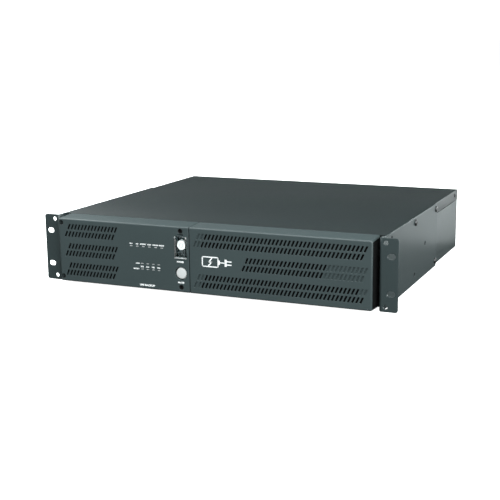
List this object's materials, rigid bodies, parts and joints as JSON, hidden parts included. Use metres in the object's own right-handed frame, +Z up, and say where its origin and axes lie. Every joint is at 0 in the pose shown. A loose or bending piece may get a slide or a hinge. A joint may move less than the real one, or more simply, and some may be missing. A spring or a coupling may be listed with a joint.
{
  "type": "uninterruptible power supply",
  "caption": "Rack-mount uninterruptible power supply, two rack units high, with slotted front bezels, a battery drawer behind the right one, rack ears and rear outlets.",
  "frame": {"origin": "on the floor plane, below the middle of the bounding box", "axes": "+X to the right seen from the front, +Y from the front to the rear, +Z up; the front panel faces -Y"},
  "size_m": [0.4826, 0.4134, 0.0881],
  "materials": {
    "slate_steel": "fine-textured slate-grey powder coat, satin",
    "zinc_steel": "zinc-plated sheet steel",
    "slate_plastic": "moulded slate-grey plastic with a fine spark-eroded texture",
    "black_screw": "black-oxide steel",
    "white_plastic": "white translucent plastic, smooth",
    "clear_plastic": "clear moulded polycarbonate",
    "lens_plastic": "smoked translucent light pipe",
    "board": "green solder-mask laminate",
    "black_plastic": "moulded black plastic",
    "grey_ribbon": "grey PVC ribbon",
    "battery_case": "dark grey ABS case",
    "red_plastic": "red moulded plastic and cable sheath",
    "laminated_iron": "varnished transformer laminations",
    "copper_winding": "enamelled copper winding",
    "bare_aluminium": "extruded aluminium, bare"
  },
  "bodies": {
    "chassis": {"chassis_tray": "slate_steel", "top_cover": "slate_steel", "rear_panel": "slate_steel", "left_rack_ear": "slate_steel", "right_rack_ear": "slate_steel", "slot_cover": "slate_steel", "front_plate": "zinc_steel", "bay_divider": "zinc_steel", "bay_back_wall": "zinc_steel", "door_bracket": "zinc_steel", "fan_guard": "zinc_steel", "usb_port": "zinc_steel", "serial_port": "zinc_steel", "control_bezel": "slate_plastic", "bezel_screw_1": "black_screw", "bezel_screw_2": "black_screw", "bezel_screw_3": "black_screw", "bezel_screw_4": "black_screw", "left_ear_screw_1": "black_screw", "left_ear_screw_2": "black_screw", "left_ear_screw_3": "black_screw", "right_ear_screw_1": "black_screw", "right_ear_screw_2": "black_screw", "right_ear_screw_3": "black_screw", "status_light_pipe": "lens_plastic", "meter_light_pipe": "lens_plastic", "control_board": "board", "main_board": "board", "power_switch": "black_plastic", "mute_switch": "black_plastic", "transfer_relay": "black_plastic", "fan_frame": "black_plastic", "outlet_bank_upper": "black_plastic", "outlet_bank_lower": "black_plastic", "ac_inlet": "black_plastic", "breaker_body": "black_plastic", "network_jacks": "black_plastic", "bulk_capacitor_1": "black_plastic", "bulk_capacitor_2": "black_plastic", "ribbon_cable": "grey_ribbon", "battery_socket": "red_plastic", "transformer_core": "laminated_iron", "transformer_winding": "copper_winding", "inverter_heatsink": "bare_aluminium", "charger_heatsink": "bare_aluminium"},
    "battery_pack": {"battery_tray": "zinc_steel", "battery_1": "battery_case", "battery_2": "battery_case", "battery_3": "battery_case", "battery_4": "battery_case", "battery_handle": "black_plastic", "battery_lead": "red_plastic", "battery_plug": "red_plastic"},
    "battery_door": {"battery_door": "slate_plastic"},
    "power_button": {"power_button": "white_plastic"},
    "mute_button": {"mute_button": "white_plastic"},
    "power_guard": {"power_guard": "clear_plastic"},
    "breaker_button": {"breaker_button": "red_plastic"},
    "fan_rotor": {"fan_rotor": "black_plastic"}
  },
  "joints": [
    {"name": "battery_pack_slide", "type": "slide", "parent": "chassis", "child": "battery_pack", "axis": [0, -1, 0], "range_m": [0, 0.33]},
    {"name": "battery_door_pull", "type": "slide", "parent": "battery_pack", "child": "battery_door", "axis": [0, -1, 0], "range_m": [0, 0.06]},
    {"name": "power_button_press", "type": "slide", "parent": "chassis", "child": "power_button", "axis": [0, 1, 0], "range_m": [0, 0.0018], "stiffness_N_per_m": 400, "springref_m": -0.001},
    {"name": "mute_button_press", "type": "slide", "parent": "chassis", "child": "mute_button", "axis": [0, 1, 0], "range_m": [0, 0.0018], "stiffness_N_per_m": 400, "springref_m": -0.001},
    {"name": "power_guard_hinge", "type": "hinge", "parent": "chassis", "child": "power_guard", "pos_m": [-0.0345, -0.20525, 0.0714], "axis": [-1, 0, 0], "range_deg": [0, 100]},
    {"name": "breaker_trip", "type": "slide", "parent": "chassis", "child": "breaker_button", "axis": [0, 1, 0], "range_m": [0, 0.004]},
    {"name": "fan_spin", "type": "hinge", "parent": "chassis", "child": "fan_rotor", "pos_m": [-0.166, 0.18465, 0.044], "axis": [0, 1, 0], "continuous": true}
  ]
}
